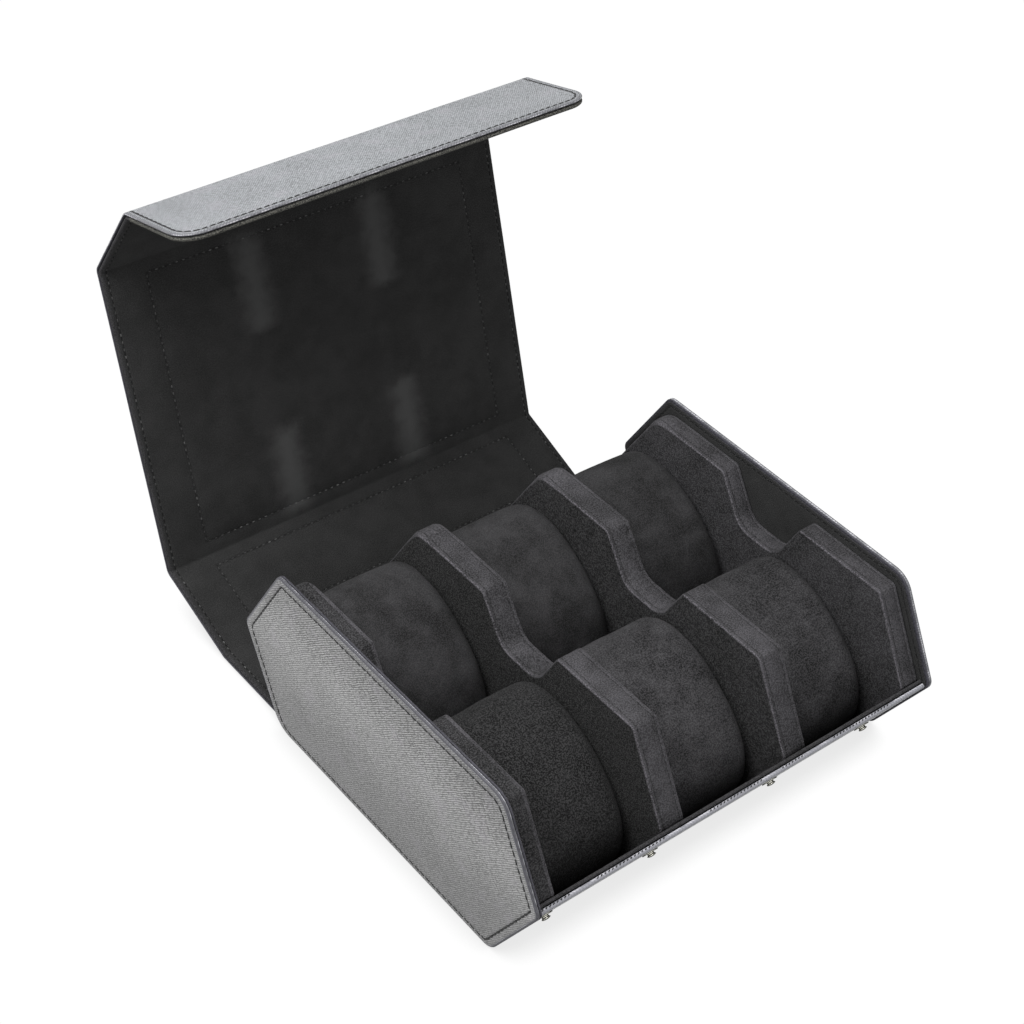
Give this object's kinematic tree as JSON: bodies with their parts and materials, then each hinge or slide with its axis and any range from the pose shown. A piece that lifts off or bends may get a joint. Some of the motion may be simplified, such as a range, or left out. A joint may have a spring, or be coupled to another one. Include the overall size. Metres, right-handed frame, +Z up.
{
  "type": "watch storage case",
  "caption": "Hexagonal folding watch case with a hinged wrap cover, humped suede dividers, loose oval cushions and a snap-closed flap.",
  "frame": {"origin": "middle of the base's underside, between the two end panels and between the two lower fold lines", "axes": "+X along the case from end panel to end panel, +Y to the back where the cover is hinged, +Z up"},
  "size_m": [0.222, 0.3228, 0.2162],
  "materials": {
    "leather": "satin",
    "suede": "matte",
    "board": "matte",
    "metal": "polished"
  },
  "bodies": {
    "case_body": {"base_leather": "leather", "base_board": "board", "base_lining": "suede", "front_leather": "leather", "front_board": "board", "front_lining": "suede", "left_end_leather": "leather", "left_end_board": "board", "left_end_lining": "suede", "right_end_leather": "leather", "right_end_board": "board", "right_end_lining": "suede", "left_end_divider": "suede", "left_divider": "suede", "right_divider": "suede", "right_end_divider": "suede", "snap_stud_1": "metal", "snap_stud_2": "metal", "snap_stud_3": "metal", "snap_stud_4": "metal"},
    "back_lower": {"back_lower_leather": "leather", "back_lower_board": "board", "back_lower_lining": "suede"},
    "back_upper": {"back_upper_leather": "leather", "back_upper_board": "board", "back_upper_lining": "suede"},
    "lid": {"lid_leather": "leather", "lid_board": "board", "lid_lining": "suede"},
    "front_upper": {"front_upper_leather": "leather", "front_upper_board": "board", "front_upper_lining": "suede"},
    "flap": {"flap_leather": "leather", "flap_board": "board", "flap_lining": "suede", "snap_socket_1": "metal", "snap_socket_2": "metal", "snap_socket_3": "metal", "snap_socket_4": "metal"},
    "front_left_cushion": {"front_left_cushion": "suede"},
    "front_middle_cushion": {"front_middle_cushion": "suede"},
    "front_right_cushion": {"front_right_cushion": "suede"},
    "rear_left_cushion": {"rear_left_cushion": "suede"},
    "rear_middle_cushion": {"rear_middle_cushion": "suede"},
    "rear_right_cushion": {"rear_right_cushion": "suede"}
  },
  "joints": [
    {"name": "back_base_fold", "type": "hinge", "parent": "case_body", "child": "back_lower", "pos_m": [0, 0.07461, 0], "axis": [-1, 0, 0], "range_deg": [-60, 0]},
    {"name": "back_middle_fold", "type": "hinge", "parent": "back_lower", "child": "back_upper", "pos_m": [0, 0.12658, 0], "axis": [-1, 0, 0], "range_deg": [-40.2, 19.8]},
    {"name": "lid_fold", "type": "hinge", "parent": "back_upper", "child": "lid", "pos_m": [0, 0.17416, 0.01713], "axis": [-1, 0, 0], "range_deg": [-8.2, 51.8]},
    {"name": "front_fold", "type": "hinge", "parent": "lid", "child": "front_upper", "pos_m": [0, 0.2217, 0.16005], "axis": [-1, 0, 0], "range_deg": [-1.94, 50.9]},
    {"name": "flap_fold", "type": "hinge", "parent": "front_upper", "child": "flap", "pos_m": [0, 0.19378, 0.20388], "axis": [-1, 0, 0], "range_deg": [-24.56, 42.6]},
    {"name": "front_left_lift", "type": "slide", "parent": "case_body", "child": "front_left_cushion", "axis": [0, 0, 1], "range_m": [0, 0.085]},
    {"name": "front_middle_lift", "type": "slide", "parent": "case_body", "child": "front_middle_cushion", "axis": [0, 0, 1], "range_m": [0, 0.085]},
    {"name": "front_right_lift", "type": "slide", "parent": "case_body", "child": "front_right_cushion", "axis": [0, 0, 1], "range_m": [0, 0.085]},
    {"name": "rear_left_lift", "type": "slide", "parent": "case_body", "child": "rear_left_cushion", "axis": [0, 0, 1], "range_m": [0, 0.085]},
    {"name": "rear_middle_lift", "type": "slide", "parent": "case_body", "child": "rear_middle_cushion", "axis": [0, 0, 1], "range_m": [0, 0.085]},
    {"name": "rear_right_lift", "type": "slide", "parent": "case_body", "child": "rear_right_cushion", "axis": [0, 0, 1], "range_m": [0, 0.085]}
  ]
}
